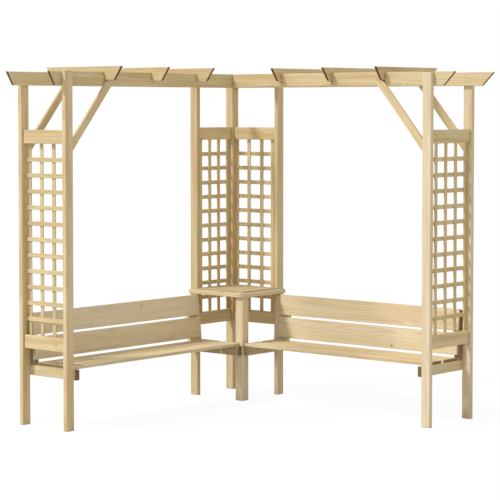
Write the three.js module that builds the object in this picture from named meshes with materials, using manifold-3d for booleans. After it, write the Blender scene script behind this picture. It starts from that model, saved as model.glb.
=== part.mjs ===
// Corner arbour seat in pressure-treated pine: two benches that meet at a square table in the
// corner, under four beams and six rafters, with trellis panels in the ends and the corner.
//
// Lengths are in millimetres and +Z is up. The corner post stands in the back left corner. The
// right wing runs from it along +X and the left wing along -Y, and both benches face the open
// front. The pieces are laid out from the corner post's centre, in three directions that each wing
// names for itself: along the wing from the corner post, across it from the back to the open
// front, and up. The finished group is then moved so that its origin is the middle of its
// footprint, on the ground.

import * as THREE from "three";
import { mergeVertices } from "three/addons/utils/BufferGeometryUtils.js";
import Module from "manifold-3d";

const wasm = await Module();
wasm.setup();

// Timber sections and the fit between pieces
const post = { wide: 58, thin: 29, high: 2040 };
const board = { high: 79, thick: 18 };
const easedEdge = 2;
const jointGap = 0.3;

// Plan: where each wing's frames stand, how far its beams and planks run and where rafters cross.
// The front line is the middle of the front end post, and the inner face is where the bench starts.
const wingReach = 1850;
const leftWing = {
  side: "left",
  along: new THREE.Vector3(0, -1, 0),
  across: new THREE.Vector3(1, 0, 0),
  frontLine: 376,
  innerFace: 373,
  beamOverhang: { back: 150, front: 126 },
  beamRake: 49,
  outerRafterInset: 318,
  innerRafter: 738,
  slatInset: 0,
  boardInset: 30,
  boardPast: 11,
  innerBearerSetback: 7,
  outerBearerPast: 25,
  backBraceDrop: 398,
};
const rightWing = {
  side: "right",
  along: new THREE.Vector3(1, 0, 0),
  across: new THREE.Vector3(0, -1, 0),
  frontLine: 430,
  innerFace: 408,
  beamOverhang: { back: 190, front: 173 },
  beamRake: 79,
  outerRafterInset: 327,
  innerRafter: 743,
  slatInset: 26,
  boardInset: 47,
  boardPast: 0,
  innerBearerSetback: 15,
  outerBearerPast: 2,
  backBraceDrop: 384,
};
const wings = [leftWing, rightWing];

// Roof: rafters halved over the beams, and knee braces under the beams
const rafter = { rise: 32, back: -118, front: 497, rake: 59 };
const rafterPlaces = ["outer", "middle", "inner"];
const brace = { wide: 45, rise: 384, run: 325, frontDrop: 384, topGap: 2 };

// Trellis: two rails on each panel and a lattice of laths behind them
const rail = { belowBeam: 253, aboveSeat: 83 };
const lath = { wide: 25, thick: 8, bite: 1, lap: 60, crossCount: 11 };
// Places of the upright laths, as shares of the way from one post to the other
const leftEndUprightShares = [0.04, 0.36, 0.683, 1];
const rightEndUprightShares = [0, 0.286, 0.563, 0.833];
const leftCornerUprightShares = [0, 0.307, 0.603, 0.903];
const rightCornerUprightShares = [0, 0.305, 0.634, 0.898];

// Benches: two slats on two bearers, and a leaning back of two boards on two battens
const seat = { high: 365, back: 85, front: 383, gap: 24 };
const bearer = { high: 60, thick: 34 };
const backrest = { aboveSeat: 15.5, boardHigh: 129, gap: 13.5, lean: 6, belowTable: 10 };
const battenWide = { inner: 110, outer: 29 };

// Table: boards on the table post and on two battens, with a rail round the two open edges
const table = { high: 688, boardCount: 3, boardGap: 1, railHigh: 27.5, railDrop: 10.5, battenLap: 18 };

const up = new THREE.Vector3(0, 0, 1);
const halfPost = post.wide / 2;
const backFace = halfPost - post.thin;
const endInner = wingReach - halfPost;
const endOuter = wingReach + halfPost;
const beamBottom = post.high - board.high;
const rafterTop = post.high + rafter.rise;
const rafterBottom = rafterTop - board.high;
const halving = (post.high - rafterBottom) / 2;
const tableRailTop = table.high - table.railDrop;
const tableRailBottom = tableRailTop - table.railHigh;

// Colours of the sawn pine: most pieces are straw coloured, some are honey or rose
const timbers = ["#dcc592", "#d6bb84", "#dbbf98"];

const arbour = new THREE.Group();
arbour.name = "arbour_seat";

function timber() {
  const tone = timbers[arbour.children.length % timbers.length];
  return new THREE.MeshStandardMaterial({ color: tone, roughness: 0.8, metalness: 0 });
}

function addPiece(name, geometry) {
  const piece = new THREE.Mesh(geometry, timber());
  piece.name = name;
  arbour.add(piece);
  return piece;
}

// A length of sawn timber: an outline in the plane of two directions, as thick as the stretch from
// one place to another on the third, with eased edges round both faces.
function addTimber(name, outline, [first, second, third], from, to) {
  const side = new THREE.Shape(outline.map(([p, q]) => new THREE.Vector2(p, q)));
  const sawn = new THREE.ExtrudeGeometry(side, {
    depth: to - from - 2 * easedEdge,
    bevelThickness: easedEdge,
    bevelSize: easedEdge,
    bevelOffset: -easedEdge,
    bevelSegments: 1,
  });
  sawn.translate(0, 0, easedEdge);
  const piece = addPiece(name, sawn);
  const outward = new THREE.Vector3().crossVectors(first, second);
  piece.quaternion.setFromRotationMatrix(new THREE.Matrix4().makeBasis(first, second, outward));
  piece.position.copy(third).multiplyScalar(outward.dot(third) > 0 ? from : to);
  return piece;
}

const rectangle = (left, right, bottom, top) => [
  [left, bottom],
  [right, bottom],
  [right, top],
  [left, top],
];

const upright = (wing) => [wing.along, up, wing.across];
const crosswise = (wing) => [wing.across, up, wing.along];
const flat = (wing) => [wing.along, wing.across, up];

// Posts
function addPost(wing, name, alongFrom, alongTo, acrossFrom, acrossTo, high) {
  addTimber(name, rectangle(alongFrom, alongTo, 0, high), upright(wing), acrossFrom, acrossTo);
}

function addPosts() {
  const tableTopOfPost = table.high - board.thick;
  const tablePostFrom = rightWing.innerFace - post.wide;
  addPost(rightWing, "corner_post", -halfPost, halfPost, -halfPost, halfPost, post.high);
  addPost(
    rightWing,
    "table_post",
    tablePostFrom,
    rightWing.innerFace,
    leftWing.innerFace - post.wide,
    leftWing.innerFace,
    tableTopOfPost,
  );
  for (const wing of wings) {
    const innerFrom = wing.innerFace - post.thin;
    const frontFrom = wing.frontLine - post.thin / 2;
    const frontTo = wing.frontLine + post.thin / 2;
    addPost(wing, `${wing.side}_inner_post`, innerFrom, wing.innerFace, -halfPost, halfPost, post.high);
    addPost(wing, `${wing.side}_end_back_post`, endInner, endOuter, backFace, halfPost, post.high);
    addPost(wing, `${wing.side}_end_front_post`, endInner, endOuter, frontFrom, frontTo, post.high);
  }
}

// Beams and rafters: a wing's rafters are spread evenly from its outer end towards the corner.
function rafterLines(wing) {
  const outer = wingReach - wing.outerRafterInset;
  return rafterPlaces.map((place, i) => {
    const share = i / (rafterPlaces.length - 1);
    return THREE.MathUtils.lerp(outer, wing.innerRafter, share);
  });
}

// The beams of a wing lie on the inner faces of its back posts and of its front end post.
function beamSpans(wing) {
  const frontFace = wing.frontLine - post.thin / 2;
  return {
    back: [halfPost, halfPost + board.thick],
    front: [frontFace - board.thick, frontFace],
  };
}

// A beam's side: a raked outer end, longest at the top, and a slot in the top for each rafter.
function beamOutline(wing, start, overhang) {
  const halfSlot = board.thick / 2 + jointGap;
  const end = wingReach + overhang;
  const outline = [
    [start, beamBottom],
    [end - wing.beamRake, beamBottom],
    [end, post.high],
  ];
  for (const line of rafterLines(wing)) {
    outline.push(
      [line + halfSlot, post.high],
      [line + halfSlot, post.high - halving],
      [line - halfSlot, post.high - halving],
      [line - halfSlot, post.high],
    );
  }
  outline.push([start, post.high]);
  return outline;
}

// A rafter's side: raked at both ends, with a notch in its underside for each beam.
function rafterOutline(wing) {
  const { back, front } = beamSpans(wing);
  const notch = ([from, to]) => [
    [from - jointGap, rafterBottom],
    [from - jointGap, rafterBottom + halving],
    [to + jointGap, rafterBottom + halving],
    [to + jointGap, rafterBottom],
  ];
  return [
    [rafter.back, rafterTop],
    [rafter.back + rafter.rake, rafterBottom],
    ...notch(back),
    ...notch(front),
    [rafter.front - rafter.rake, rafterBottom],
    [rafter.front, rafterTop],
  ];
}

function addRoof() {
  const leftSpans = beamSpans(leftWing);
  // The left back beam runs past the corner post. The others stop at the beam that they meet.
  const starts = {
    left: { back: -halfPost, front: leftSpans.back[1] },
    right: { back: leftSpans.back[1], front: leftSpans.front[1] },
  };
  for (const wing of wings) {
    const spans = beamSpans(wing);
    for (const row of ["back", "front"]) {
      const outline = beamOutline(wing, starts[wing.side][row], wing.beamOverhang[row]);
      addTimber(`${wing.side}_${row}_beam`, outline, upright(wing), ...spans[row]);
    }
    rafterLines(wing).forEach((line, i) => {
      const name = `${wing.side}_${rafterPlaces[i]}_rafter`;
      const half = board.thick / 2;
      addTimber(name, rafterOutline(wing), crosswise(wing), line - half, line + half);
    });
  }
}

// A knee brace's side: a plumb foot on the end post, and a level top that laps the beam's face.
function braceOutline(drop) {
  const slope = brace.rise / brace.run;
  const plumbCut = brace.wide * Math.hypot(1, slope);
  const levelCut = plumbCut / slope;
  const foot = beamBottom - drop;
  const top = rafterBottom - brace.topGap;
  const tip = endInner - (top - foot) / slope;
  return [
    [endInner, foot],
    [endInner, foot + plumbCut],
    [tip + levelCut, top],
    [tip, top],
  ];
}

function addBraces() {
  for (const wing of wings) {
    const spans = beamSpans(wing);
    const behind = spans.back[0];
    const before = spans.front[1];
    const backOutline = braceOutline(wing.backBraceDrop);
    const frontOutline = braceOutline(brace.frontDrop);
    addTimber(`${wing.side}_back_brace`, backOutline, upright(wing), behind - board.thick, behind);
    addTimber(`${wing.side}_front_brace`, frontOutline, upright(wing), before, before + board.thick);
  }
}

// A closed mesh as a solid for joining.
function solidOf(geometry) {
  geometry.deleteAttribute("normal");
  geometry.deleteAttribute("uv");
  const merged = mergeVertices(geometry);
  return new wasm.Manifold(
    new wasm.Mesh({
      numProp: 3,
      vertProperties: merged.attributes.position.array,
      triVerts: new Uint32Array(merged.index.array),
    }),
  );
}

function geometryOf(solid) {
  const mesh = solid.getMesh();
  const geometry = new THREE.BufferGeometry();
  geometry.setAttribute("position", new THREE.BufferAttribute(mesh.vertProperties, 3));
  geometry.setIndex(new THREE.BufferAttribute(mesh.triVerts, 1));
  geometry.computeVertexNormals();
  return geometry;
}

// A straight lath between two opposite corners, each given as its places on three directions.
function lathSolid(directions, low, high) {
  const corner = (places) =>
    directions.reduce((sum, way, i) => sum.addScaledVector(way, places[i]), new THREE.Vector3());
  const box = new THREE.Box3().setFromPoints([corner(low), corner(high)]);
  const size = box.getSize(new THREE.Vector3());
  const middle = box.getCenter(new THREE.Vector3());
  return solidOf(new THREE.BoxGeometry(size.x, size.y, size.z).translate(middle.x, middle.y, middle.z));
}

// A trellis panel between two posts: a top rail and a bottom rail, and behind them the lattice,
// whose crossing laths bite into each other. The panel's depth is centred in the posts.
function addTrellis(name, directions, from, to, postOuter, uprightShares, uprightsFirst) {
  const depth = board.thick + 2 * lath.thick;
  const face = postOuter - (post.wide - depth) / 2;
  const railBack = face - board.thick;
  const topEdge = beamBottom - rail.belowBeam;
  const bottomEdge = seat.high + rail.aboveSeat;
  const highEdge = topEdge - board.high;
  const lowEdge = bottomEdge + board.high;
  const topOutline = rectangle(from, to, highEdge, topEdge);
  const bottomOutline = rectangle(from, to, bottomEdge, lowEdge);
  addTimber(`${name}_top_rail`, topOutline, directions, railBack, face);
  addTimber(`${name}_bottom_rail`, bottomOutline, directions, railBack, face);

  const firstLayer = [railBack - lath.thick, railBack];
  const secondLayer = firstLayer.map((place) => place - lath.thick + lath.bite);
  const [uprightLayer, crossLayer] = uprightsFirst ? [firstLayer, secondLayer] : [secondLayer, firstLayer];
  const lowEnd = lowEdge - lath.lap;
  const highEnd = highEdge + lath.lap;
  const laths = uprightShares.map((share) => {
    const start = from + share * (to - from - lath.wide);
    return [
      [start, lowEnd, uprightLayer[0]],
      [start + lath.wide, highEnd, uprightLayer[1]],
    ];
  });
  const pitch = (highEdge - lowEdge) / (lath.crossCount + 1);
  const crossBottoms = Array.from(
    { length: lath.crossCount },
    (unused, i) => lowEdge + (i + 1) * pitch - lath.wide / 2,
  );
  // The outermost cross laths close the lattice behind the rails.
  for (const bottom of [lowEnd, ...crossBottoms, highEnd - lath.wide]) {
    laths.push([
      [from, bottom, crossLayer[0]],
      [to, bottom + lath.wide, crossLayer[1]],
    ]);
  }
  const lattice = laths
    .map(([low, high]) => lathSolid(directions, low, high))
    .reduce((sum, next) => sum.add(next));
  addPiece(`${name}_lattice`, geometryOf(lattice));
}

function addTrellises() {
  for (const wing of wings) {
    const isLeft = wing === leftWing;
    const frontFace = wing.frontLine - post.thin / 2;
    const endShares = isLeft ? leftEndUprightShares : rightEndUprightShares;
    const cornerShares = isLeft ? leftCornerUprightShares : rightCornerUprightShares;
    const innerFrom = wing.innerFace - post.thin;
    addTrellis(`${wing.side}_end`, crosswise(wing), halfPost, frontFace, endOuter, endShares, !isLeft);
    addTrellis(`${wing.side}_corner`, upright(wing), halfPost, innerFrom, halfPost, cornerShares, true);
  }
}

// Benches: slats on an outer bearer at the end posts, and on an inner one beside the table post
function addSeat(wing) {
  const slatBottom = seat.high - board.thick;
  const bearerBottom = slatBottom - bearer.high;
  const slatWide = (seat.front - seat.back - seat.gap) / 2;
  const slatStart = wing.innerFace + wing.slatInset;
  const rows = { back: seat.back, front: seat.front - slatWide };
  for (const [row, from] of Object.entries(rows)) {
    const outline = rectangle(slatStart, endInner, from, from + slatWide);
    addTimber(`${wing.side}_seat_${row}_slat`, outline, flat(wing), slatBottom, seat.high);
  }
  const tablePostFront = wing === leftWing ? rightWing.innerFace : leftWing.innerFace;
  const ends = {
    outer: { front: wing.frontLine + wing.outerBearerPast, from: endInner - bearer.thick },
    inner: { front: tablePostFront - wing.innerBearerSetback, from: wing.innerFace },
  };
  for (const [place, { front, from }] of Object.entries(ends)) {
    const outline = rectangle(backFace, front, bearerBottom, slatBottom);
    addTimber(`${wing.side}_seat_${place}_bearer`, outline, crosswise(wing), from, from + bearer.thick);
  }
}

// The back leans about its foot: the boards are square to the leaning directions, and the battens
// behind them have level ends, with their feet on the seat bearers and their heads beside the posts.
function addBackrest(wing) {
  const lean = THREE.MathUtils.degToRad(backrest.lean);
  const leaningUp = up.clone().multiplyScalar(Math.cos(lean)).addScaledVector(wing.across, -Math.sin(lean));
  const leaningOut = wing.across.clone().multiplyScalar(Math.cos(lean)).addScaledVector(up, Math.sin(lean));
  const footHeight = seat.high + backrest.aboveSeat;
  const foot = up.clone().multiplyScalar(footHeight).addScaledVector(wing.across, seat.back);
  const leaning = [wing.along, leaningUp, leaningOut];
  const rows = { lower: 0, upper: backrest.boardHigh + backrest.gap };
  const start = wing.innerFace + wing.boardInset;
  const end = endInner + wing.boardPast;
  for (const [row, rise] of Object.entries(rows)) {
    const outline = rectangle(start, end, rise, rise + backrest.boardHigh);
    const name = `${wing.side}_backrest_${row}_board`;
    addTimber(name, outline, leaning, -board.thick, 0).position.add(foot);
  }

  const battenFoot = seat.high - board.thick;
  const battenTop = tableRailBottom - backrest.belowTable;
  const frontAt = (height) =>
    seat.back - (height - footHeight) * Math.tan(lean) - (board.thick + jointGap) / Math.cos(lean);
  const depth = post.thin / Math.cos(lean);
  const outline = [
    [frontAt(battenFoot), battenFoot],
    [frontAt(battenTop), battenTop],
    [frontAt(battenTop) - depth, battenTop],
    [frontAt(battenFoot) - depth, battenFoot],
  ];
  const places = { inner: wing.innerFace, outer: endInner - battenWide.outer };
  for (const [place, from] of Object.entries(places)) {
    const name = `${wing.side}_backrest_${place}_batten`;
    addTimber(name, outline, crosswise(wing), from, from + battenWide[place]);
  }
}

// Table
function addTable() {
  const boardBottom = table.high - board.thick;
  const right = rightWing.innerFace;
  const front = leftWing.innerFace;
  const boardWide = (right - halfPost - (table.boardCount - 1) * table.boardGap) / table.boardCount;
  for (let i = 0; i < table.boardCount; i += 1) {
    const from = halfPost + i * (boardWide + table.boardGap);
    const outline = rectangle(from, from + boardWide, halfPost, front);
    addTimber(`table_board_${i + 1}`, outline, flat(rightWing), boardBottom, table.high);
  }
  const frontOutline = rectangle(-halfPost, right, tableRailBottom, tableRailTop);
  const sideOutline = rectangle(-halfPost, front + board.thick, tableRailBottom, tableRailTop);
  addTimber("table_front_rail", frontOutline, upright(rightWing), front, front + board.thick);
  addTimber("table_side_rail", sideOutline, crosswise(rightWing), right, right + board.thick);

  const battenBottom = boardBottom - board.thick;
  const frontBatten = rectangle(halfPost, right - post.wide, battenBottom, boardBottom);
  const backBatten = rectangle(halfPost - table.battenLap, right, battenBottom, boardBottom);
  const backEdge = halfPost + board.thick;
  addTimber("table_front_batten", frontBatten, upright(rightWing), front - board.thick, front);
  addTimber("table_back_batten", backBatten, upright(rightWing), halfPost, backEdge);
}

addPosts();
addRoof();
addBraces();
addTrellises();
for (const wing of wings) {
  addSeat(wing);
  addBackrest(wing);
}
addTable();

const middle = new THREE.Box3().setFromObject(arbour).getCenter(new THREE.Vector3());
arbour.position.set(-middle.x, -middle.y, 0);

export default arbour;
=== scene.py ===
# Corner arbour seat in pressure-treated pine: the finish of its sawn pieces, the laths of its
# trellis, its screws, and the studio that it stands in. Lengths are in metres and +Z is up.

import math
from collections import namedtuple

import bpy
import numpy as np
from bpy.props import FloatProperty, FloatVectorProperty, IntProperty, PointerProperty
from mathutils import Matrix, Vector


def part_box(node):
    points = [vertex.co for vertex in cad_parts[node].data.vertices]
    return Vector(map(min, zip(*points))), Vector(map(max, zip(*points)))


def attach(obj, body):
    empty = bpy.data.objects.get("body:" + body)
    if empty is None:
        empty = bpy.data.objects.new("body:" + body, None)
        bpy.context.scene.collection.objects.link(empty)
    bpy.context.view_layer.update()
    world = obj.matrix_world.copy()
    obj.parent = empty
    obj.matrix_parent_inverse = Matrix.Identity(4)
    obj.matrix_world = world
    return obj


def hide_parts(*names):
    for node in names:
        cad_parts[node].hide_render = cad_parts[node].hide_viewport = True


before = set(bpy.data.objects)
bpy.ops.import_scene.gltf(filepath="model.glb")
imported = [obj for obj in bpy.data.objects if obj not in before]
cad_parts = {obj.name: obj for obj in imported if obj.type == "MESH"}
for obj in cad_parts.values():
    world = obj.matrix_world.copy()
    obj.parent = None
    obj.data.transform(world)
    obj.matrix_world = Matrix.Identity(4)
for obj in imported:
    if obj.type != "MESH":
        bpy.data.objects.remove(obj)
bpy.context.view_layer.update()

bl_info = {
    "name": "Corner arbour seat",
    "version": (1, 0, 0),
    "blender": (4, 5, 0),
    "location": "View3D > Sidebar > Arbour",
    "description": "Finishes, laths and screws of a corner arbour seat, with a plain studio",
    "category": "Object",
}

MM = 0.001

# The corner post's foot, and each wing's own directions: along it from that post, and across it
# from the back to the open front.
CORNER = sum(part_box("corner_post"), Vector()) / 2
CORNER.z = 0
WINGS = {
    "left": (Vector((0, -1, 0)), Vector((1, 0, 0))),
    "right": (Vector((1, 0, 0)), Vector((0, -1, 0))),
}
UP = Vector((0, 0, 1))

# The backrests' boards are this thick and lean back by this, their outer battens' feet reach this
# far behind the posts' front faces, and the knee braces rise by this much for this run.
BOARD_THICK = 18 * MM
LEAN = math.radians(6)
FOOT_LAP = 6 * MM
BRACE_RISE = 384
BRACE_RUN = 325


# Colour

WHITE = (1, 1, 1, 1)


def linear(code):
    """An sRGB hex colour as linear red, green, blue: the curve's straight foot, then its power."""
    parts = np.array([int(code[i:i + 2], 16) for i in (1, 3, 5)]) / 255
    return tuple(np.where(parts <= 0.04045, parts / 12.92, ((parts + 0.055) / 1.055) ** 2.4))


def colour(name, code, description):
    return FloatVectorProperty(
        name=name, description=description, subtype="COLOR", size=3, min=0, max=1, default=linear(code)
    )


def length(name, millimetres, description):
    return FloatProperty(name=name, description=description, unit="LENGTH", min=0, default=millimetres * MM)


def share(name, value, description):
    return FloatProperty(name=name, description=description, subtype="FACTOR", min=0, max=1, default=value)


# Settings

class PineSettings(bpy.types.PropertyGroup):
    straw: colour("Straw", "#e2d0a6", "Sapwood, the main colour of the boards")
    honey: colour("Honey", "#cdb07a", "Heartwood bands")
    rose: colour("Rose", "#d9b595", "Resin-rich streaks")
    sage: colour("Sage", "#c3b98c", "Where the preservative has coloured the wood green")
    late_wood: colour("Late wood", "#b3905a", "The dark half of a growth ring")
    knot: colour("Knot", "#8d6237", "Knots")
    end_grain: colour("End grain", "#5d4524", "Cut ends, which soak up the preservative")
    planed: colour("Planed", "#f6ecd4", "Freshly planed sapwood, which makes the boards paler")
    ring_spacing: length("Ring spacing", 8, "Distance between two growth rings")
    ring_wander: length("Ring wander", 42, "How far the rings wander along the log")
    streak_wide: length("Streak width", 34, "Width of a streak of colour")
    streak_long: length("Streak length", 620, "Length of a streak of colour")
    patch_wide: length("Patch width", 120, "Width of a patch of rose or sage")
    patch_long: length("Patch length", 380, "Length of a patch of rose or sage")
    fibre_wide: length("Fibre width", 2.6, "Width of the bundles of fibres that catch the light")
    fibre_long: length("Fibre length", 120, "Length of a bundle of fibres")
    knot_spacing: length("Knot spacing", 170, "Distance between two branches in the log")
    knot_radius: length("Knot radius", 8, "Radius of a knot")
    knot_swell: length("Knot swell", 16, "How far the rings swell out round a knot")
    relief: length("Relief", 0.5, "How far the late wood stands out of the sawn face")
    roughness: share("Roughness", 0.72, "Roughness of the sawn face")


class LathSettings(bpy.types.PropertyGroup):
    wide: length("Width", 25, "Width of a lath")
    eased_edge: length("Eased edge", 1.2, "Radius of a lath's long edges")
    lap: length("Lap", 60, "How far the upright laths run behind a rail")
    cross_count: IntProperty(
        name="Level laths", description="How many level laths lie between two rails", default=11, min=1
    )


class ScrewSettings(bpy.types.PropertyGroup):
    head: length("Head", 6.5, "Diameter of a screw's head")
    bolt: length("Bolt", 10, "Diameter of the dark bolts under the rafters")
    bolt_drop: length("Bolt drop", 5, "How far the bolts stay under the rafters")
    bolt_shift: length("Bolt shift", 16, "How far the bolts stay outward from the rafters' middles")
    proud: length("Proud", 0.5, "How far a head stands out of the wood")
    edge_distance: length("Edge distance", 19, "How far a screw stays from a wide piece's edge")
    narrow_edge: length("Narrow edge distance", 15, "How far a screw stays from a narrow piece's edge")
    pair_spacing: length("Pair spacing", 26, "Distance between the two screws of a pair")
    end_distance: length("End distance", 14, "How far a screw stays from a piece's end")
    steel: colour("Coated steel", "#a8946a", "Yellow passivated steel")
    # The socket colour is painted shade: the recess in a head is drawn darker than its steel.
    socket: colour("Socket", "#5a4a30", "The dark socket in a screw's head")
    # Dark all over on the bolts: their dark heads, with painted shade of the counterbored holes they sit
    # in.
    bolt_and_hole_shade: colour("Black oxide", "#33291c", "The coating of the bolts")


class StudioSettings(bpy.types.PropertyGroup):
    floor: colour("Floor", "#cfccc4", "The pale floor, as it lights what stands on it")
    key_strength: FloatProperty(name="Key", description="Strength of the key light", default=2.25, min=0)
    sky_strength: FloatProperty(name="Sky", description="Strength of the even light", default=0.66, min=0)
    key_softness: FloatProperty(
        name="Softness", description="Angle across the key light", subtype="ANGLE", default=math.radians(9)
    )
    floor_white: share("Floor white", 0.93, "How much of the floor that the camera sees is plain white")
    lens: FloatProperty(
        name="Lens", description="Focal length of the camera", unit="CAMERA", default=136.76
    )


# Nodes

SMOOTH = {"interpolation_type": "SMOOTHSTEP"}
COLOURS = {"data_type": "RGBA"}


def add_node(tree, kind, settings=None, **links):
    """Adds one shader node. Each link is a socket or a value, for the input of that name, or of that
    number where a node has several inputs of one name."""
    node = tree.nodes.new("ShaderNode" + kind)
    for name, value in (settings or {}).items():
        setattr(node, name, value)
    for name, value in links.items():
        key = int(name[1:]) if name[0] == "_" else name.replace("_", " ")
        socket = node.inputs[key]
        if isinstance(value, bpy.types.NodeSocket):
            tree.links.new(value, socket)
        else:
            socket.default_value = value
    return node


def new_material(name):
    material = bpy.data.materials.new(name)
    material.use_nodes = True
    material.node_tree.nodes.clear()
    return material, material.node_tree


# Sawn, pressure-treated pine: matt and pale, with soft growth rings cut at a slant, a few round
# knots that the rings bend about, and cut ends that are dark because they soak up the
# preservative. Rings and fibres are drawn coarser than real ones, so that they show from afar.

# A sawn piece takes the first of these that its node's name holds, so a single piece stands before
# its kind: how far its faces are on the way to freshly planed wood, how dark its faces are made, and
# how dark the preservative made its cut ends. On most pieces the faces' darkness is the preservative's;
# on the outer battens and the left seat's inner bearer it is painted shade, for they stand in shadow.
FINISH_SHARES = {
    # Painted shade: the outer battens stand in shadow between the boards' ends and the back posts.
    "outer_batten": (0, 0.68, 0.9),
    "left_backrest_upper_board": (0.56, 0, 0.5),
    "right_backrest_upper_board": (0.3, 0, 0.5),
    "backrest": (0.42, 0, 0.5),
    # Painted shade: this bearer stands in the shadow of the seat.
    "left_seat_inner_bearer": (0, 0.4, 0.8),
    "right_seat_inner_bearer": (0, 0.16, 0.8),
    "bearer": (0.12, 0, 0.9),
    "right_seat": (0.08, 0.02, 0.8),
    "left_seat": (0.18, 0, 0.8),
    "table_board": (0, 0.24, 0.3),
    "table_front_rail": (0.2, 0.02, 0.3),
    "table": (0.4, 0, 0.3),
    "right_front_beam": (0, 0.06, 1),
    "corner_post": (0, 0.05, 1),
    "left_inner_post": (0, 0.1, 1),
    "right_end_front_post": (0.42, 0, 1),
    "right_end_back_post": (0.32, 0, 1),
    "post": (0.08, 0, 1),
}
SAWN_SHARES = (0, 0, 1)

# A face becomes a cut end as the cosine of its angle to the grain passes from the first of these to
# the second, so that raked ends count too. The early wood there is this many times as pale.
CUT_START_SHARE = 0.58
CUT_FULL_SHARE = 0.64
EARLY_END_PALER = 1.3

# The pith is up to this far to one side of a piece's middle, from this near to this far above or
# below it, and the piece comes from anywhere along a log that is this long.
PITH_ASIDE = 50 * MM
PITH_NEAR = 20 * MM
PITH_FAR = 60 * MM
LOG_LONG = 9

# The rings wander in bends that are this wide and this long. In each ring the late wood starts at
# the first share of its width and is darkest at the second.
WANDER_WIDE = 110 * MM
WANDER_LONG = 850 * MM
LATE_START_SHARE = 0.3
LATE_PEAK_SHARE = 0.9

# For the heartwood's bands, the resin, the preservative's green and the fibres: where the noise
# starts to show them, where it shows them in full, and how much of the wood they then cover.
FIGURE_SHARES = {
    "honey": (0.38, 0.7, 0.8),
    "rose": (0.5, 0.72, 0.6),
    "sage": (0.48, 0.7, 0.6),
    "fibre": (0.4, 0.75, 0.22),
}
FIGURE_DETAIL = 2.5
ROSE_PLACE = (3, 1, 7)
SAGE_PLACE = (8, 5, 2)

# How far the swell round a knot, its edge and its heart reach, in radii of the knot, and how much
# of their colour the swell, the heart and the late wood lay on.
SWELL_REACH = 3
EDGE_REACH = 1.1
HEART_REACH = 0.5
SWELL_SHARE = 0.3
HEART_SHARE = 0.85
LATE_SHARE = 0.3

# The late wood stands out half as far as the fibres do, and is smoother than the early wood.
LATE_RELIEF_SHARE = 0.5
BUMP_SHARE = 0.35
EARLY_ROUGHER = 0.08
LATE_SMOOTHER = 0.1
WOOD_IOR = 1.5
WOOD_SPECULAR = 0.3


def finish_of(node):
    return next((shares for kind, shares in FINISH_SHARES.items() if kind in node), SAWN_SHARES)


def pith_of(rng):
    """A place in the log: a few centimetres from the pith and anywhere along it."""
    side = rng.choice((-1, 1))
    aside = rng.uniform(-PITH_ASIDE, PITH_ASIDE)
    return Vector((aside, rng.uniform(PITH_NEAR, PITH_FAR) * side, rng.uniform(0, LOG_LONG)))


def log_in_object(tree, along, middle, pith):
    """The place of a point in its log, where Z runs with the grain, and whether it's on a cut end."""
    turn = along.rotation_difference(UP)
    where = add_node(tree, "TexCoord").outputs
    log = add_node(
        tree, "Mapping", Vector=where["Object"], Location=pith - turn @ middle, Rotation=turn.to_euler()
    ).outputs[0]
    dot = {"operation": "DOT_PRODUCT"}
    facing = add_node(tree, "VectorMath", dot, _0=where["Normal"], _1=along).outputs["Value"]
    size = add_node(tree, "Math", {"operation": "ABSOLUTE"}, _0=facing).outputs[0]
    cut = add_node(
        tree, "MapRange", SMOOTH, Value=size, From_Min=CUT_START_SHARE, From_Max=CUT_FULL_SHARE
    ).outputs[0]
    return log, cut


def log_in_attributes(tree):
    """The same for a piece that carries its place in the log, and its cut ends, as attributes."""
    log = add_node(tree, "Attribute", {"attribute_name": "log"}).outputs["Vector"]
    cut = add_node(tree, "Attribute", {"attribute_name": "cut_end"}).outputs["Fac"]
    return log, cut


def figure(tree, log, wide, long, place=(0, 0, 0)):
    """Noise that is as wide as this across the log and as long as this along it, taken from this
    place in the noise."""
    scale = (1 / wide, 1 / wide, 1 / long)
    drawn_out = add_node(tree, "Mapping", Vector=log, Scale=scale, Location=place).outputs[0]
    return add_node(tree, "TexNoise", Vector=drawn_out, Scale=1.0, Detail=FIGURE_DETAIL).outputs["Fac"]


def growth_rings(tree, log, look, near_knot):
    """Late wood, from 0 to 1: a slow rise and a quick fall, once for each ring spacing out from the
    pith. The distance from the pith wanders along the log and swells near a knot."""
    wander = figure(tree, log, WANDER_WIDE, WANDER_LONG)
    split = add_node(tree, "SeparateXYZ", Vector=log).outputs
    across = add_node(tree, "CombineXYZ", X=split["X"], Y=split["Y"]).outputs[0]
    radius = add_node(tree, "VectorMath", {"operation": "LENGTH"}, _0=across).outputs["Value"]
    add = {"operation": "MULTIPLY_ADD"}
    swell = add_node(tree, "Math", add, _0=near_knot, _1=look.knot_swell, _2=radius).outputs[0]
    bent = add_node(tree, "Math", add, _0=wander, _1=look.ring_wander, _2=swell).outputs[0]
    turns = add_node(tree, "Math", {"operation": "DIVIDE"}, _0=bent, _1=look.ring_spacing).outputs[0]
    ring = add_node(tree, "Math", {"operation": "FRACT"}, _0=turns).outputs[0]
    rise = add_node(
        tree, "MapRange", SMOOTH, Value=ring, From_Min=LATE_START_SHARE, From_Max=LATE_PEAK_SHARE
    ).outputs[0]
    fall = add_node(
        tree, "MapRange", SMOOTH, Value=ring, From_Min=LATE_PEAK_SHARE, From_Max=1.0
    ).outputs[0]
    return add_node(tree, "Math", {"operation": "SUBTRACT"}, _0=rise, _1=fall).outputs[0]


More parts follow.
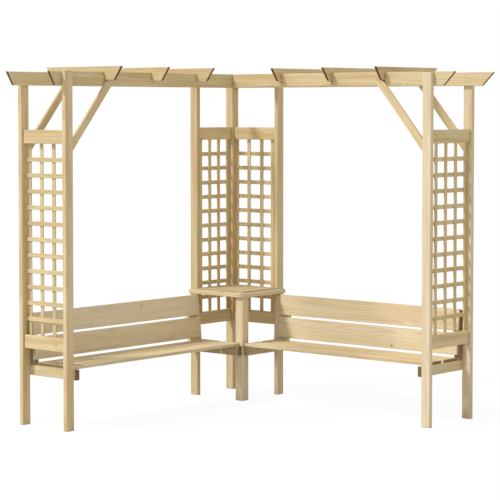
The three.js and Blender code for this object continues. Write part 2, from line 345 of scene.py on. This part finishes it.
def knots(tree, log, look):
    """How near a point is to a knot, and how far it is inside one. Branches cross the log at the
    points of a Voronoi pattern that is one knot spacing coarse."""
    branches = add_node(tree, "TexVoronoi", Vector=log, Scale=1 / look.knot_spacing).outputs
    distance = branches["Distance"]
    radius = look.knot_radius / look.knot_spacing
    near = add_node(
        tree, "MapRange", SMOOTH, Value=distance, From_Min=SWELL_REACH * radius, From_Max=0.0
    ).outputs[0]
    edge = EDGE_REACH * radius
    heart = HEART_REACH * radius
    inside = add_node(
        tree, "MapRange", SMOOTH, Value=distance, From_Min=edge, From_Max=heart, To_Max=HEART_SHARE
    ).outputs[0]
    return near, inside


def pine_surface(tree, log, cut, tone, planed_share, face_soak_and_shade_share, cut_share):
    """Straw-coloured wood with honey, rose and sage in it, then rings, fibres, knots and cut ends."""
    look = bpy.context.scene.arbour_pine
    near_knot, in_knot = knots(tree, log, look)
    late = growth_rings(tree, log, look, near_knot)
    fibres = figure(tree, log, look.fibre_wide, look.fibre_long)
    noises = {
        "honey": figure(tree, log, look.streak_wide, look.streak_long),
        "rose": figure(tree, log, look.patch_wide, look.patch_long, ROSE_PLACE),
        "sage": figure(tree, log, look.patch_wide, look.patch_long, SAGE_PLACE),
        "fibre": fibres,
    }
    shows = {}
    for name, (start, full, most) in FIGURE_SHARES.items():
        shows[name] = add_node(
            tree, "MapRange", SMOOTH, Value=noises[name], From_Min=start, From_Max=full, To_Max=most
        ).outputs[0]
    times = {"operation": "MULTIPLY"}
    ringed = add_node(tree, "Math", times, _0=late, _1=LATE_SHARE).outputs[0]
    swollen = add_node(tree, "Math", times, _0=near_knot, _1=SWELL_SHARE).outputs[0]

    layers = (
        (shows["honey"], Vector(look.honey) * tone),
        (shows["rose"], look.rose),
        (shows["sage"], look.sage),
        (planed_share, look.planed),
        (ringed, look.late_wood),
        (shows["fibre"], look.late_wood),
        (swollen, look.knot),
        (in_knot, look.knot),
    )
    base = (*(Vector(look.straw) * tone), 1)
    for amount, layer in layers:
        base = add_node(tree, "Mix", COLOURS, Factor=amount, A=base, B=(*layer, 1)).outputs["Result"]

    early_end = (*(Vector(look.end_grain) * EARLY_END_PALER), 1)
    late_end = (*look.end_grain, 1)
    ends = add_node(tree, "Mix", COLOURS, Factor=late, A=early_end, B=late_end).outputs["Result"]
    # The faces take a share of the end-grain colour: the preservative's darkness, and on some pieces
    # painted shade.
    soak_and_shade = add_node(tree, "MapRange", Value=cut, To_Min=face_soak_and_shade_share, To_Max=cut_share).outputs[0]
    base = add_node(tree, "Mix", COLOURS, Factor=soak_and_shade, A=base, B=ends).outputs["Result"]

    add = {"operation": "MULTIPLY_ADD"}
    height = add_node(tree, "Math", add, _0=late, _1=LATE_RELIEF_SHARE, _2=fibres).outputs[0]
    bump = add_node(tree, "Bump", Height=height, Strength=BUMP_SHARE, Distance=look.relief).outputs[0]
    early_rough = look.roughness + EARLY_ROUGHER
    late_rough = look.roughness - LATE_SMOOTHER
    rough = add_node(tree, "MapRange", Value=late, To_Min=early_rough, To_Max=late_rough).outputs[0]
    wood = add_node(tree, "BsdfPrincipled", Base_Color=base, Roughness=rough, Normal=bump, IOR=WOOD_IOR)
    wood.inputs["Specular IOR Level"].default_value = WOOD_SPECULAR
    add_node(tree, "OutputMaterial", Surface=wood.outputs[0])


# Coated steel, yellow passivated, or dark all over for the bolts under the rafters: their dark heads,
# with painted shade of the counterbored holes that they sit in. Dull, with a faint grain from the plating,
# whose dull places are this share as bright. Where its noise goes from the first of these to the second,
# the roughness goes from the third to the fourth.
PLATING_GRAIN = 0.8 * MM
PLATING_DETAIL = 2.0
DULL_SHARE = 0.75
PLATING_SHARES = (0.3, 0.7, 0.35, 0.55)
STEEL_METALLIC = 0.7


def coated_steel(name, coat, socket):
    material, tree = new_material(name)
    where = add_node(tree, "TexCoord").outputs["Object"]
    plating = add_node(
        tree, "TexNoise", Vector=where, Scale=1 / PLATING_GRAIN, Detail=PLATING_DETAIL
    ).outputs["Fac"]
    # Faces marked as socket take the socket colour, which is painted shade in the recess.
    socket_shade_mask = add_node(tree, "Attribute", {"attribute_name": "socket"}).outputs["Fac"]
    dull = (*(Vector(coat) * DULL_SHARE), 1)
    base = add_node(tree, "Mix", COLOURS, Factor=plating, A=(*coat, 1), B=dull).outputs["Result"]
    base = add_node(tree, "Mix", COLOURS, Factor=socket_shade_mask, A=base, B=(*socket, 1)).outputs["Result"]
    low, high, least, most = PLATING_SHARES
    rough = add_node(
        tree, "MapRange", Value=plating, From_Min=low, From_Max=high, To_Min=least, To_Max=most
    ).outputs[0]
    metal = add_node(tree, "BsdfPrincipled", Base_Color=base, Roughness=rough, Metallic=STEEL_METALLIC)
    add_node(tree, "OutputMaterial", Surface=metal.outputs[0])
    return material


# Pieces

def new_piece(name, points, faces, material):
    """A new piece of the arbour, in the row frame: points is an array of any shape of triples."""
    mesh = bpy.data.meshes.new(name)
    mesh.from_pydata(points.reshape(-1, 3).tolist(), [], faces)
    mesh.materials.append(material)
    piece = bpy.data.objects.new(name, mesh)
    bpy.context.collection.objects.link(piece)
    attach(piece, "root")
    return piece


def carried_faces(count, rows, ring):
    """Faces of so many copies of a profile with `ring` points, carried along `rows` stations: a
    quad between two neighbours of two stations, and one face that closes each end. The second
    value is how many of them are quads; these come first."""
    row, k = np.meshgrid(np.arange(rows - 1), np.arange(ring), indexing="ij")
    here = row * ring
    there = here + ring
    after = (k + 1) % ring
    quads = np.stack([here + k, here + after, there + after, there + k], -1)
    first = np.arange(count)[:, None] * rows * ring
    sides = (quads.reshape(1, -1, 4) + first[:, :, None]).reshape(-1, 4)
    near_end = first + np.arange(ring)[::-1]
    far_end = first + (rows - 1) * ring + np.arange(ring)
    return sides.tolist() + near_end.tolist() + far_end.tolist(), len(sides)


# A place in a wing is given as (along, across, up) in metres, from the corner post's foot.

def in_wing(wing, along, across, up):
    directions = WINGS[wing]
    return CORNER + directions[0] * along + directions[1] * across + UP * up


def span(wing, node):
    """A node's lowest and highest places along, across and up its wing."""
    corners = [Vector(corner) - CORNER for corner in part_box(node)]
    ways = (*WINGS[wing], UP)
    places = np.array([[corner.dot(way) for way in ways] for corner in corners])
    return places.min(0), places.max(0)


def middle_of(wing, node):
    return sum(span(wing, node)) / 2


# Sawn timber: the first draws for its places in the log and its tones, which lie between these.

TIMBER_SEED = 12
TONES = (0.93, 1.02)


def grain_of(node):
    """Which way a piece's grain runs: up a brace's slope, and otherwise along its longest side."""
    if "brace" in node:
        along = WINGS[node.split("_")[0]][0]
        return (UP * BRACE_RISE - along * BRACE_RUN).normalized()
    low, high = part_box(node)
    sizes = np.array(high) - np.array(low)
    return Vector(np.eye(3)[np.argmax(sizes)])


class ARBOUR_OT_timber_finish(bpy.types.Operator):
    """Give every sawn piece of the frame its own piece of the log"""

    bl_idname = "arbour.timber_finish"
    bl_label = "Finish the sawn timber"

    def execute(self, context):
        rng = np.random.default_rng(TIMBER_SEED)
        for node in sorted(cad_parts):
            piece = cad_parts[node]
            low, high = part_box(node)
            material, tree = new_material(f"Sawn pine {node}")
            middle = (Vector(low) + Vector(high)) / 2
            log, cut = log_in_object(tree, grain_of(node), middle, pith_of(rng))
            pine_surface(tree, log, cut, rng.uniform(*TONES), *finish_of(node))
            piece.data.materials.clear()
            piece.data.materials.append(material)
        return {"FINISHED"}


# Trellis: where each panel's upright laths stand, as shares of the way across it from the corner
# post or the back post, and whether they lie against the rails, with the level laths behind them.

PANELS = {
    "left_end": ("across", (0.04, 0.36, 0.683, 1), False),
    "right_end": ("across", (0, 0.286, 0.563, 0.833), True),
    "left_corner": ("along", (0, 0.307, 0.603, 0.903), True),
    "right_corner": ("along", (0, 0.305, 0.634, 0.91), True),
}
LATH_SEED = 5
LATH_TONE = 1.0

# A lath's edge is a quarter circle in two steps. Its cut ends are drawn in by a share of the
# radius of its edges.
EDGE_ARC = np.radians([0, 45, 90])
EASED_END_SHARE = 0.8

# For a panel's laths: where each starts, the directions of its run, its side and its depth away
# from the rails, its length, and the thickness of them all.
Laths = namedtuple("Laths", "starts runs sides depths lengths thick")


class ARBOUR_OT_trellis(bpy.types.Operator):
    """Lay the separate laths of the four trellis panels in two layers behind their rails"""

    bl_idname = "arbour.trellis"
    bl_label = "Lay the trellis laths"

    def execute(self, context):
        look = context.scene.arbour_laths
        rng = np.random.default_rng(LATH_SEED)
        material, tree = new_material("Sawn pine laths")
        pine_surface(tree, *log_in_attributes(tree), LATH_TONE, *SAWN_SHARES)
        for panel, (way, shares, uprights_first) in PANELS.items():
            laths = self.lay_out(look, panel, way, shares, uprights_first)
            points, faces, side_count = self.eased_laths(look, laths)
            piece = new_piece(f"{panel}_laths", points, faces, material)
            self.keep_log(piece, rng, points, laths, side_count)
            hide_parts(f"{panel}_lattice")
        return {"FINISHED"}

    def lay_out(self, look, panel, way, shares, uprights_first):
        """Uprights at their shares of the panel's width. Level laths a pitch apart between the two
        rails, and one more at the foot and at the top of the uprights."""
        along, across = WINGS[panel.split("_")[0]]
        run = np.array(along if way == "along" else across)
        out = np.array(across if way == "along" else along)
        up = np.array(UP)
        low, high = (np.array(corner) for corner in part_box(f"{panel}_lattice"))
        rail = sum(np.array(corner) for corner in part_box(f"{panel}_top_rail")) / 2
        middle = (low + high) / 2
        deeper = out * np.sign(np.dot(middle - rail, out))
        half = (high - low) / 2
        total = 2 * np.dot(half, np.abs(out))
        thick = total / 2
        wide = 2 * np.dot(half, np.abs(run))
        tall = high[2] - low[2]
        foot = middle - run * wide / 2 - up * half[2] - deeper * total / 2
        upright_layer, level_layer = (0, 1) if uprights_first else (1, 0)

        stands = np.array(shares)[:, None] * (wide - look.wide)
        upright = foot + stands * run + deeper * upright_layer * thick
        pitch = (tall - 2 * look.lap) / (look.cross_count + 1)
        rises = look.lap + pitch * np.arange(1, look.cross_count + 1) - look.wide / 2
        rises = np.concatenate([[0], rises, [tall - look.wide]])[:, None]
        level = foot + rises * up + deeper * level_layer * thick

        counts = (len(upright), len(level))
        runs = np.repeat([up, run], counts, axis=0)
        return Laths(
            starts=np.concatenate([upright, level]),
            runs=runs,
            sides=np.repeat([run, up], counts, axis=0),
            depths=np.broadcast_to(deeper, runs.shape),
            lengths=np.repeat([tall, wide], counts),
            thick=thick,
        )

    def eased_laths(self, look, laths):
        """A rectangle with quarter-round corners is carried along each lath. At both ends it is
        drawn in by a share of the radius of those corners, which eases the cut edges too."""
        radius = look.eased_edge
        corner = np.repeat([0, 1, 2, 3], len(EDGE_ARC))
        angle = np.tile(EDGE_ARC, 4) + EDGE_ARC[-1] * corner
        centre_x = np.where((corner == 0) | (corner == 3), 1, -1) * (look.wide / 2 - radius)
        centre_y = np.where(corner < 2, 1, -1) * (laths.thick / 2 - radius)
        full = np.stack([centre_x + radius * np.cos(angle), centre_y + radius * np.sin(angle)], -1)
        centre = np.stack([centre_x, centre_y], -1)
        drawn_in = full + (centre - full) * EASED_END_SHARE
        profiles = np.stack([drawn_in, full, full, drawn_in])
        zero = np.zeros_like(laths.lengths)
        stations = np.stack([zero, zero + radius, laths.lengths - radius, laths.lengths], -1)

        x = profiles[None, :, :, 0] + look.wide / 2
        y = profiles[None, :, :, 1] + laths.thick / 2
        points = (
            laths.starts[:, None, None]
            + x[..., None] * laths.sides[:, None, None]
            + y[..., None] * laths.depths[:, None, None]
            + stations[:, :, None, None] * laths.runs[:, None, None]
        )
        # A lath whose three directions are left-handed is carried from its other end.
        right_handed = np.sum(np.cross(laths.sides, laths.depths) * laths.runs, axis=1) > 0
        points = np.where(right_handed[:, None, None, None], points, points[:, ::-1])
        faces, side_count = carried_faces(len(laths.starts), len(profiles), len(angle))
        return points, faces, side_count

    def keep_log(self, piece, rng, points, laths, side_count):
        """Keeps each point's place in the log: its distances along the lath's own three directions
        from its start, moved to another part of the log for every lath."""
        directions = np.stack([laths.sides, laths.depths, laths.runs], -1)
        log = (points - laths.starts[:, None, None]) @ directions[:, None]
        log += np.array([pith_of(rng) for _ in laths.starts])[:, None, None]
        mesh = piece.data
        mesh.attributes.new("log", "FLOAT_VECTOR", "POINT").data.foreach_set("vector", log.ravel())
        cut = np.zeros(len(mesh.polygons))
        cut[side_count:] = 1
        mesh.attributes.new("cut_end", "FLOAT", "FACE").data.foreach_set("value", cut)


class ARBOUR_OT_outer_battens(bpy.types.Operator):
    """Trim the backrests' outer battens so that each foot stands beside its back post"""

    bl_idname = "arbour.outer_battens"
    bl_label = "Trim the outer battens"

    def execute(self, context):
        for wing, (along, across) in WINGS.items():
            node = f"{wing}_backrest_outer_batten"
            low, high = span(wing, node)
            post_front = span(wing, f"{wing}_end_back_post")[1][1]
            outline = self.trimmed(low, high, post_front - FOOT_LAP)
            # Its outline is carried the way that turns its faces outward.
            ends = (low[0], high[0]) if across.cross(UP).dot(along) > 0 else (high[0], low[0])
            places = np.empty((len(ends), len(outline), 3))
            places[..., 0] = np.array(ends)[:, None]
            places[..., 1:] = outline
            points = np.array(CORNER) + places @ np.array([along, across, UP])
            faces = carried_faces(1, len(ends), len(outline))[0]
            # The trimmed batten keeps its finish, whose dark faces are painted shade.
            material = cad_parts[node].data.materials[0]
            piece = new_piece(f"{node}_trimmed", points, faces, material)
            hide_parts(node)
        return {"FINISHED"}

    def trimmed(self, low, high, foot_back):
        """A leaning batten's outline, as (across, up): its back leans like its front down to where
        it meets the back of the foot, and is plumb below that."""
        slope = math.tan(LEAN)
        run = (high[2] - low[2]) * slope
        deep = high[1] - low[1] - run
        meets = low[2] + (high[1] - deep - foot_back) / slope
        return np.array(
            [
                (high[1], low[2]),
                (high[1] - run, high[2]),
                (low[1], high[2]),
                (foot_back, meets),
                (foot_back, low[2]),
            ]
        )


# A screw's head from its rim, across its flat and down into its socket: each ring's radius as a
# share of the head's, its height as a share of how far the head stands out, and how many sides it
# has. The socket's walls and floor take the dark socket colour, which is painted shade in the recess.
# A screw counts as upright where the upward part of its axis is over the last share.
HEAD_RADIUS_SHARES = (1, 1, 0.86, 0.45, 0.38)
HEAD_HEIGHT_SHARES = (-1, 0.5, 1, 1, 0.2)
HEAD_SIDES = 12
UPRIGHT_SHARE = 0.9


class ARBOUR_OT_screws(bpy.types.Operator):
    """Drive the screws of the roof, the benches and the table"""

    bl_idname = "arbour.screws"
    bl_label = "Drive the screws"

    def execute(self, context):
        look = context.scene.arbour_screws
        steel = coated_steel("Passivated steel screw", look.steel, look.socket)
        # The bolts' dark colour is partly painted shade of the counterbored holes round their heads.
        bolt_and_hole_shade = coated_steel("Black oxide bolt", look.bolt_and_hole_shade, look.bolt_and_hole_shade)
        for wing in WINGS:
            self.drive(look, steel, f"{wing}_roof_screws", look.head, self.roof(look, wing), "roof_pine")
            self.drive(look, steel, f"{wing}_bench_screws", look.head, self.bench(look, wing), "bench_pine")
        self.drive(look, bolt_and_hole_shade, "right_roof_bolts", look.bolt, self.bolts(look, "right"), "roof_pine")
        self.drive(look, steel, "table_screws", look.head, self.table(look), "table_pine")
        return {"FINISHED"}

    def drive(self, look, material, name, wide, spots, slot):
        """A profile of rim, flat and socket is turned about each screw's own axis."""
        places = np.array([place for place, axis in spots])
        axes = np.array([axis for place, axis in spots])
        upright = np.abs(axes[:, 2:]) > UPRIGHT_SHARE
        first = np.cross(np.where(upright, [[1.0, 0, 0]], [[0, 0, 1.0]]), axes)
        first /= np.linalg.norm(first, axis=1)[:, None]
        second = np.cross(axes, first)
        radii = np.array(HEAD_RADIUS_SHARES) * wide / 2
        heights = np.array(HEAD_HEIGHT_SHARES) * look.proud
        angle = np.linspace(0, 2 * math.pi, HEAD_SIDES, endpoint=False)[:, None]
        ring = np.cos(angle) * first[:, None, None] + np.sin(angle) * second[:, None, None]
        points = (
            places[:, None, None]
            + radii[None, :, None, None] * ring
            + heights[None, :, None, None] * axes[:, None, None]
        )
        faces, side_count = carried_faces(len(places), len(radii), HEAD_SIDES)
        piece = new_piece(name, points, faces, material)
        # The socket's walls and floor are marked for the socket colour: painted shade in the recess.
        step = (np.arange(side_count) // HEAD_SIDES) % (len(radii) - 1)
        dark = np.concatenate([step == len(radii) - 2, np.zeros(len(places)), np.ones(len(places))])
        piece.data.attributes.new("socket", "FLOAT", "FACE").data.foreach_set("value", dark.astype(float))

    def bolts(self, look, wing):
        """One beside each rafter's foot, on the outer face of the front beam. The outermost one goes
        through the brace that lies against that beam. Each is dark all over: its dark head, with painted
        shade of the counterbored hole that it sits in."""
        across = WINGS[wing][1]
        beam_face = span(wing, f"{wing}_front_beam")[1][1]
        brace_face = span(wing, f"{wing}_front_brace")[1][1]
        spots = []
        for rafter, face in (("outer", brace_face), ("middle", beam_face), ("inner", beam_face)):
            low, high = span(wing, f"{wing}_{rafter}_rafter")
            place = (low[0] + high[0]) / 2 + look.bolt_shift
            spots.append((in_wing(wing, place, face, low[2] - look.bolt_drop), across))
        return spots

    def roof(self, look, wing):
        """Beams on their posts, rafters on the back beam, and braces on the beams."""
        across = WINGS[wing][1]
        edge = look.edge_distance
        spots = []
        low, high = span(wing, f"{wing}_back_beam")
        for post in ("end_back_post", "inner_post"):
            place = middle_of(wing, f"{wing}_{post}")[0]
            for up in (low[2] + edge, high[2] - edge):
                spots.append((in_wing(wing, place, high[1], up), across))
        front_low, front_high = span(wing, f"{wing}_front_beam")
        place = middle_of(wing, f"{wing}_end_front_post")[0]
        for up in (front_low[2] + edge, front_high[2] - edge):
            spots.append((in_wing(wing, place, front_low[1], up), -across))
        for rafter in ("middle", "inner"):
            rafter_low, rafter_high = span(wing, f"{wing}_{rafter}_rafter")
            place = (rafter_low[0] + rafter_high[0]) / 2
            spots.append((in_wing(wing, place, low[1], rafter_low[2] - look.bolt_drop), -across))
        for row, side in (("front", 1), ("back", -1)):
            brace_low, brace_high = span(wing, f"{wing}_{row}_brace")
            face = brace_high[1] if side > 0 else brace_low[1]
            place = brace_low[0] + edge + look.pair_spacing
            spots.append((in_wing(wing, place, face, brace_high[2] - look.narrow_edge), across * side))
        return spots

    def bench(self, look, wing):
        """Slats on their bearers, bearers on their posts, and back boards on their battens."""
        along, across = WINGS[wing]
        edge = look.edge_distance
        narrow = look.narrow_edge
        spots = []
        inner_low, inner_high = span(wing, f"{wing}_seat_inner_bearer")
        outer_low, outer_high = span(wing, f"{wing}_seat_outer_bearer")
        for row in ("back", "front"):
            low, high = span(wing, f"{wing}_seat_{row}_slat")
            near_end = max(low[0] + look.end_distance, (inner_low[0] + inner_high[0]) / 2)
            for place in (near_end, high[0] - look.end_distance):
                for side in (low[1] + edge, high[1] - edge):
                    spots.append((in_wing(wing, place, side, high[2]), UP))
        for row in ("back", "front"):
            side = middle_of(wing, f"{wing}_end_{row}_post")[1]
            for up in (outer_low[2] + narrow, outer_high[2] - narrow):
                spots.append((in_wing(wing, outer_low[0], side, up), -along))
        for side in (edge, inner_high[1] - look.pair_spacing):
            for up in (inner_low[2] + narrow, inner_high[2] - narrow):
                spots.append((in_wing(wing, inner_high[0], side, up), along))

        # The backrest's boards lean back about their front lower edges.
        out = across * math.cos(LEAN) + UP * math.sin(LEAN)
        batten = middle_of(wing, f"{wing}_backrest_outer_batten")[0]
        for row in ("lower", "upper"):
            low, high = span(wing, f"{wing}_backrest_{row}_board")
            foot_up = low[2] + BOARD_THICK * math.sin(LEAN)
            tall = (high[2] - foot_up) / math.cos(LEAN)
            for place in (low[0] + look.end_distance, batten):
                for rise in (look.pair_spacing, tall - look.pair_spacing):
                    side = high[1] - rise * math.sin(LEAN)
                    spots.append((in_wing(wing, place, side, foot_up + rise * math.cos(LEAN)), out))
        return spots

    def table(self, look):
        """Boards on their battens, and the two edge rails on the posts and battens. The side rail's
        screws stay clear of the front rail's end by twice the edge distance."""
        along, across = WINGS["right"]
        edge = look.edge_distance
        pair = look.pair_spacing
        spots = []
        for board in (1, 2, 3):
            low, high = span("right", f"table_board_{board}")
            for place in (low[0] + edge, high[0] - edge):
                for side in (low[1] + look.end_distance, high[1] - look.end_distance):
                    spots.append((in_wing("right", place, side, high[2]), UP))
        low, high = span("right", "table_front_rail")
        up = (low[2] + high[2]) / 2
        for place in (low[0] + edge, high[0] - edge, high[0] - edge - pair):
            spots.append((in_wing("right", place, high[1], up), across))
        low, high = span("right", "table_side_rail")
        clear = high[1] - 2 * edge
        for side in (low[1] + edge, clear, clear - pair):
            spots.append((in_wing("right", high[0], side, up), along))
        return spots


# Studio: how far the floor reaches each way, and which way the key light travels.

FLOOR_REACH = 40
KEY_TRAVEL = Vector((0.51, 0.8, -1.0))

# The camera's place from the corner post's foot, its fall and its turn in degrees, how far its
# frame is shifted down as a share of the frame, its sensor's width in millimetres, and how far it
# sees.
CAMERA_PLACE = Vector((8097.4, -9335.3, 1837.1)) * MM
CAMERA_FALL = 3
CAMERA_TURN = 40.402
FRAME_SHIFT_SHARE = -0.0866
SENSOR_WIDE = 36
FARTHEST = 100


def sees_background(tree):
    """1 for a ray from the camera, or from it by way of a gloss or a glass, and otherwise 0."""
    path = add_node(tree, "LightPath").outputs
    most = {"operation": "MAXIMUM"}
    glossed = add_node(tree, "Math", most, _0=path["Is Camera Ray"], _1=path["Is Glossy Ray"]).outputs[0]
    return add_node(tree, "Math", most, _0=glossed, _1=path["Is Transmission Ray"]).outputs[0]


class ARBOUR_OT_studio(bpy.types.Operator):
    """Lay the floor, light the arbour from the front left and set the camera"""

    bl_idname = "arbour.studio"
    bl_label = "Set up the studio"

    def execute(self, context):
        look = context.scene.arbour_studio
        self.lay_floor(context, look)
        self.light(context, look)
        self.set_camera(context, look)
        context.scene.view_settings.view_transform = "Standard"
        return {"FINISHED"}

    def lay_floor(self, context, look):
        """A floor that lights the arbour as pale paint does, and is seen as white with a faint shadow."""
        reach = FLOOR_REACH
        corners = [(-reach, -reach, 0), (reach, -reach, 0), (reach, reach, 0), (-reach, reach, 0)]
        mesh = bpy.data.meshes.new("floor")
        mesh.from_pydata(corners, [], [(0, 1, 2, 3)])
        floor = bpy.data.objects.new("floor", mesh)
        context.collection.objects.link(floor)
        material, tree = new_material("Painted studio floor")
        seen = sees_background(tree)
        paint = add_node(tree, "Mix", COLOURS, Factor=seen, A=(*look.floor, 1), B=WHITE).outputs["Result"]
        matt = add_node(tree, "BsdfDiffuse", Color=paint).outputs[0]
        white = add_node(tree, "Emission", Color=WHITE, Strength=1.0).outputs[0]
        times = {"operation": "MULTIPLY"}
        lit = add_node(tree, "Math", times, _0=seen, _1=look.floor_white).outputs[0]
        both = add_node(tree, "MixShader", _0=lit, _1=matt, _2=white).outputs[0]
        add_node(tree, "OutputMaterial", Surface=both)
        mesh.materials.append(material)

    def light(self, context, look):
        """The key comes from the front left, high up. The sky fills evenly and is seen as white."""
        sun = bpy.data.lights.new("key", "SUN")
        sun.energy = look.key_strength
        sun.angle = look.key_softness
        key = bpy.data.objects.new("key", sun)
        key.rotation_mode = "QUATERNION"
        key.rotation_quaternion = KEY_TRAVEL.to_track_quat("-Z", "Y")
        context.collection.objects.link(key)
        world = bpy.data.worlds.new("studio")
        context.scene.world = world
        world.use_nodes = True
        tree = world.node_tree
        tree.nodes.clear()
        seen = sees_background(tree)
        strength = add_node(tree, "MapRange", Value=seen, To_Min=look.sky_strength, To_Max=1.0).outputs[0]
        sky = add_node(tree, "Background", Color=WHITE, Strength=strength).outputs[0]
        add_node(tree, "OutputWorld", Surface=sky)

    def set_camera(self, context, look):
        """A long lens looks along the ground from the open front, with a slight fall."""
        lens = bpy.data.cameras.new("camera")
        lens.sensor_width = SENSOR_WIDE
        lens.lens = look.lens
        lens.shift_y = FRAME_SHIFT_SHARE
        lens.clip_end = FARTHEST
        camera = bpy.data.objects.new("camera", lens)
        camera.location = CORNER + CAMERA_PLACE
        camera.rotation_euler = (math.radians(90 - CAMERA_FALL), 0, math.radians(CAMERA_TURN))
        context.collection.objects.link(camera)
        context.scene.camera = camera


class ARBOUR_PT_sidebar(bpy.types.Panel):
    bl_label = "Corner arbour seat"
    bl_idname = "ARBOUR_PT_sidebar"
    bl_space_type = "VIEW_3D"
    bl_region_type = "UI"
    bl_category = "Arbour"

    def draw(self, context):
        for operator in OPERATORS:
            self.layout.operator(operator.bl_idname)
        for group, kind in SETTINGS.items():
            box = self.layout.box()
            for name in kind.__annotations__:
                box.prop(getattr(context.scene, group), name)


SETTINGS = {
    "arbour_pine": PineSettings,
    "arbour_laths": LathSettings,
    "arbour_screws": ScrewSettings,
    "arbour_studio": StudioSettings,
}
OPERATORS = (
    ARBOUR_OT_timber_finish,
    ARBOUR_OT_trellis,
    ARBOUR_OT_outer_battens,
    ARBOUR_OT_screws,
    ARBOUR_OT_studio,
)


def register():
    for group, kind in SETTINGS.items():
        bpy.utils.register_class(kind)
        setattr(bpy.types.Scene, group, PointerProperty(type=kind))
    for kind in (*OPERATORS, ARBOUR_PT_sidebar):
        bpy.utils.register_class(kind)


def unregister():
    for kind in (ARBOUR_PT_sidebar, *reversed(OPERATORS)):
        bpy.utils.unregister_class(kind)
    for group, kind in SETTINGS.items():
        delattr(bpy.types.Scene, group)
        bpy.utils.unregister_class(kind)


def main():
    register()
    for operator in OPERATORS:
        group, name = operator.bl_idname.split(".")
        getattr(getattr(bpy.ops, group), name)()
    bpy.context.view_layer.update()


if __name__ == "__main__":
    main()
